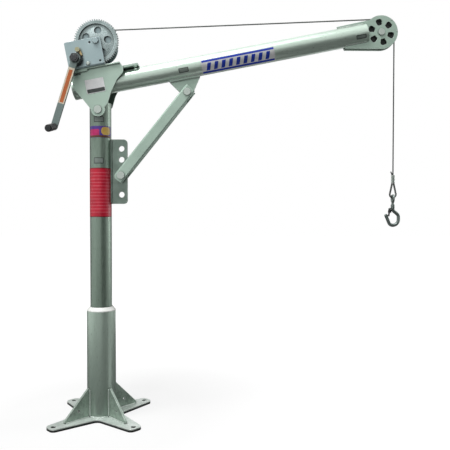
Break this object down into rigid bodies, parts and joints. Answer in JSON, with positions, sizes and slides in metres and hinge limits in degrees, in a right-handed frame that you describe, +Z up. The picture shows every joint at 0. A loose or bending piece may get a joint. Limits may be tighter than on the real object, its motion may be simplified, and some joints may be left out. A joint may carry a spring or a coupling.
{
  "type": "davit crane",
  "caption": "Small hand-winch davit crane: floor base with socket, swivelling mast, luffing tube boom held by a pinned strut, sheave, steel cable and safety hook.",
  "frame": {"origin": "on the floor under the base plate, on the mast's axis", "axes": "+X along the boom towards the hook, +Z up the mast, -Y is the crank side"},
  "size_m": [1.2346, 0.3182, 1.4335],
  "materials": {
    "zinc_plated_steel": "pale zinc plating with a faint green cast, satin",
    "galvanised_steel": "galvanised, satin",
    "winch_zinc": "bluish zinc plating, satin",
    "dark_steel": "blackened, satin",
    "cable_steel": "stranded steel wire",
    "bright_steel": "bright plated",
    "brass": "yellow-passivated or bronze, satin",
    "black_grip": "moulded, matt",
    "bush_plastic": "bearing plastic, matt",
    "friction_lining": "moulded brake lining"
  },
  "bodies": {
    "base": {"base_plate": "galvanised_steel", "base_sleeve": "galvanised_steel", "base_braces": "galvanised_steel", "socket_top_bush": "galvanised_steel", "socket_foot_bush": "bush_plastic", "socket_thrust_washer": "bush_plastic"},
    "mast": {"mast_tube": "zinc_plated_steel", "mast_pivot_sleeve": "zinc_plated_steel", "mast_foot_plug": "zinc_plated_steel", "luff_plate": "zinc_plated_steel"},
    "boom": {"head_plate_rear": "zinc_plated_steel", "head_plate_front": "zinc_plated_steel", "boom_saddles": "zinc_plated_steel", "head_top_plate": "zinc_plated_steel", "pivot_bolt": "bright_steel", "boom_nuts": "bright_steel", "boom_tube": "zinc_plated_steel", "sheave_plate_rear": "zinc_plated_steel", "sheave_plate_front": "zinc_plated_steel", "sheave_axle": "bright_steel", "cable_keepers": "bright_steel", "strut_lug": "zinc_plated_steel", "winch_seat": "zinc_plated_steel", "winch_frame": "winch_zinc", "winch_bolts": "bright_steel", "drum_axle": "bright_steel", "pawl_pin": "bright_steel", "pawl_spring": "bright_steel", "cable_boom_run": "cable_steel", "cable_sheave_wrap": "cable_steel"},
    "drum": {"winch_drum": "winch_zinc", "drum_bush": "brass", "drum_gear": "winch_zinc", "cable_lower_layers": "cable_steel", "cable_outer_layer": "cable_steel"},
    "crank": {"drive_pinion": "dark_steel", "shaft_collar": "dark_steel", "drive_shaft": "bright_steel", "friction_disc": "friction_lining", "ratchet_wheel": "dark_steel", "brake_hub": "dark_steel", "crank_arm": "zinc_plated_steel", "crank_nut": "dark_steel", "grip_pin": "bright_steel"},
    "grip": {"crank_grip": "black_grip"},
    "pawl": {"ratchet_pawl": "brass"},
    "sheave": {"sheave_wheel": "dark_steel", "sheave_bush": "brass"},
    "line": {"cable_hanging_run": "cable_steel"},
    "line_end": {"cable_ferrule": "bright_steel", "cable_eye": "cable_steel", "cable_thimble": "bright_steel"},
    "hook": {"hook": "bright_steel", "latch_rivet": "bright_steel"},
    "latch": {"hook_latch": "dark_steel"},
    "strut": {"strut_channel": "zinc_plated_steel", "strut_upper_pin": "bright_steel", "strut_upper_clip": "bright_steel"},
    "lock_pin": {"strut_lock_pin": "bright_steel"}
  },
  "joints": [
    {"name": "mast_swivel", "type": "hinge", "parent": "base", "child": "mast", "pos_m": [0, 0, 0.2], "axis": [0, 0, 1], "continuous": true},
    {"name": "boom_luff", "type": "hinge", "parent": "mast", "child": "boom", "pos_m": [0, 0, 1.093], "axis": [0, -1, 0], "range_deg": [-13.4, 28.6]},
    {"name": "strut_swing", "type": "hinge", "parent": "boom", "child": "strut", "pos_m": [0.31044, 0, 1.16036], "axis": [0, -1, 0], "range_deg": [-18.5, 8.7]},
    {"name": "lock_pin_pull", "type": "slide", "parent": "strut", "child": "lock_pin", "axis": [0, -1, 0], "range_m": [0, 0.06]},
    {"name": "drum_spin", "type": "hinge", "parent": "boom", "child": "drum", "pos_m": [-0.00343, 0, 1.32669], "axis": [0, -1, 0], "range_deg": [-430, 430], "deforming": ["cable_boom_run"]},
    {"name": "crank_spin", "type": "hinge", "parent": "boom", "child": "crank", "pos_m": [-0.06871, 0, 1.2594], "axis": [0, -1, 0], "range_deg": [-1725, 1725]},
    {"name": "grip_spin", "type": "hinge", "parent": "crank", "child": "grip", "pos_m": [-0.14127, -0.11998, 1.01879], "axis": [0, -0.9744, -0.225], "continuous": true},
    {"name": "pawl_lift", "type": "hinge", "parent": "boom", "child": "pawl", "pos_m": [-0.06289, -0.0648, 1.29213], "axis": [0, -1, 0], "range_deg": [0, 25], "stiffness_Nm_per_rad": 0.05, "springref_deg": -10.03},
    {"name": "sheave_spin", "type": "hinge", "parent": "boom", "child": "sheave", "pos_m": [0.99854, 0, 1.37446], "axis": [0, -1, 0], "range_deg": [-460, 460]},
    {"name": "line_hang", "type": "hinge", "parent": "boom", "child": "line", "pos_m": [0.99854, 0, 1.37446], "axis": [0, -1, 0], "range_deg": [-28.7, 13.5], "deforming": ["cable_sheave_wrap"]},
    {"name": "hook_lift", "type": "slide", "parent": "line", "child": "line_end", "axis": [0, 0, 1], "range_m": [-0.4, 0.4], "deforming": ["cable_hanging_run"]},
    {"name": "hook_swing", "type": "hinge", "parent": "line_end", "child": "hook", "pos_m": [1.04854, 0, 0.78715], "axis": [1, 0, 0], "range_deg": [-60, 60]},
    {"name": "latch_open", "type": "hinge", "parent": "hook", "child": "latch", "pos_m": [1.03954, 0, 0.74615], "axis": [0, -1, 0], "range_deg": [0, 40], "stiffness_Nm_per_rad": 0.05, "springref_deg": -15.01}
  ],
  "couplings": [
    {"joint": "strut_swing", "follows": "boom_luff", "ratio": -0.64},
    {"joint": "line_hang", "follows": "boom_luff", "ratio": -1},
    {"joint": "crank_spin", "follows": "drum_spin", "ratio": -4},
    {"joint": "sheave_spin", "follows": "drum_spin", "ratio": 1.06},
    {"joint": "hook_lift", "follows": "drum_spin", "m_per_rad": 0.053}
  ]
}
